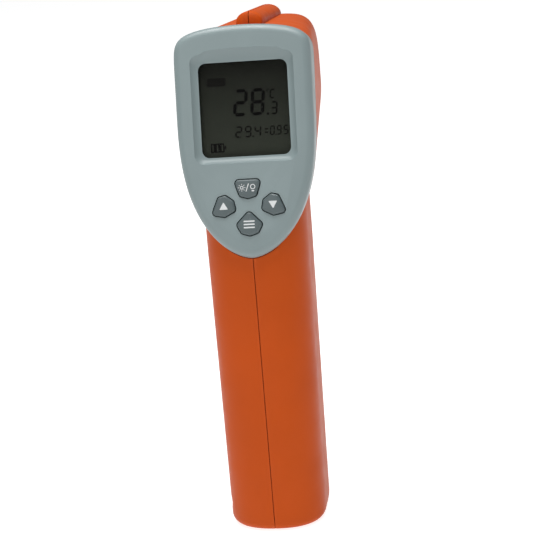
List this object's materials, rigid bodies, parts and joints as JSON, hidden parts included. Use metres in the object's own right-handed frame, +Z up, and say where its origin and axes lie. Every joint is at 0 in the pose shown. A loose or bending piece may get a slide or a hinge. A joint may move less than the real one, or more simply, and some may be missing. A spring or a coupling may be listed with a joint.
{
  "type": "infrared thermometer",
  "caption": "Pistol-grip infrared thermometer with a tilted rear display hood, face keys, a sprung trigger, a hinged battery door and a lens in its nose.",
  "frame": {"origin": "middle of the bottom of the whole object's bounding box, level with the flat base of the grip", "axes": "+Z up along the grip, +Y out of the nose, +X to the user's right"},
  "size_m": [0.0424, 0.0818, 0.1605],
  "materials": {
    "orange_abs": "satin, fine spark-eroded texture",
    "grey_abs": "satin",
    "key_plastic": "satin",
    "black_abs": "satin",
    "window_acrylic": "clear, polished",
    "lcd_glass": "smooth",
    "diffuser": "milky",
    "rubber": "moulded",
    "silicone": "moulded",
    "circuit_board": "solder mask",
    "chip_resin": "moulded",
    "can_aluminium": "drawn",
    "steel": "plated",
    "aluminium": "turned",
    "brass": "turned",
    "infrared_lens": "polished",
    "laser_lens": "polished",
    "battery_jacket": "printed film",
    "snap_vinyl": "moulded",
    "red_wire": "extruded",
    "black_wire": "extruded",
    "carbon": "moulded"
  },
  "bodies": {
    "housing": {"battery": "battery_jacket", "battery_lead_black": "black_wire", "battery_lead_red": "red_wire", "battery_snap": "snap_vinyl", "battery_terminal_negative": "steel", "battery_terminal_positive": "steel", "board_screw_1": "steel", "board_screw_2": "steel", "board_screw_3": "steel", "buzzer": "chip_resin", "capacitor_1": "can_aluminium", "capacitor_2": "can_aluminium", "capacitor_3": "can_aluminium", "contact_down": "carbon", "contact_light": "carbon", "contact_mode": "carbon", "contact_up": "carbon", "display_window": "window_acrylic", "door_hinge_pin": "steel", "housing_screw_1": "steel", "housing_screw_2": "steel", "housing_screw_3": "steel", "housing_screw_4": "steel", "keypad_sheet": "silicone", "laser_lens_lower": "laser_lens", "laser_lens_upper": "laser_lens", "laser_module_lower": "brass", "laser_module_upper": "brass", "lcd_backlight": "diffuser", "lcd_panel": "lcd_glass", "left_shell": "orange_abs", "lens_retainer": "aluminium", "main_board": "circuit_board", "nose_bezel": "black_abs", "processor_chip": "chip_resin", "rear_faceplate": "grey_abs", "right_shell": "orange_abs", "sensor_board": "circuit_board", "sensor_lens": "infrared_lens", "sensor_tube": "black_abs", "thermopile_sensor": "steel", "trigger_pin": "steel", "trigger_spring": "steel", "trigger_switch": "chip_resin", "zebra_strip_lower": "rubber", "zebra_strip_upper": "rubber"},
    "key_light": {"button_light": "key_plastic"},
    "key_up": {"button_up": "key_plastic"},
    "key_down": {"button_down": "key_plastic"},
    "key_mode": {"button_mode": "key_plastic"},
    "trigger": {"trigger": "black_abs"},
    "plunger": {"switch_plunger": "black_abs"},
    "door": {"battery_door": "orange_abs"}
  },
  "joints": [
    {"name": "key_light_press", "type": "slide", "parent": "housing", "child": "key_light", "axis": [0, 0.9744, -0.225], "range_m": [0, 0.0005], "stiffness_N_per_m": 900},
    {"name": "key_up_press", "type": "slide", "parent": "housing", "child": "key_up", "axis": [0, 0.9744, -0.225], "range_m": [0, 0.0005], "stiffness_N_per_m": 900},
    {"name": "key_down_press", "type": "slide", "parent": "housing", "child": "key_down", "axis": [0, 0.9744, -0.225], "range_m": [0, 0.0005], "stiffness_N_per_m": 900},
    {"name": "key_mode_press", "type": "slide", "parent": "housing", "child": "key_mode", "axis": [0, 0.9744, -0.225], "range_m": [0, 0.0005], "stiffness_N_per_m": 900},
    {"name": "trigger_pull", "type": "hinge", "parent": "housing", "child": "trigger", "pos_m": [0, 0.0015, 0.107], "axis": [-1, 0, 0], "range_deg": [0, 8], "stiffness_Nm_per_rad": 0.3, "deforming": ["trigger_spring"]},
    {"name": "switch_press", "type": "slide", "parent": "housing", "child": "plunger", "axis": [0, -1, 0], "range_m": [0, 0.0013]},
    {"name": "door_swing", "type": "hinge", "parent": "housing", "child": "door", "pos_m": [0, -0.0059, 0.007], "axis": [-1, 0, 0], "range_deg": [0, 90]}
  ],
  "couplings": [
    {"joint": "switch_press", "follows": "trigger_pull", "m_per_rad": 0.009311}
  ]
}
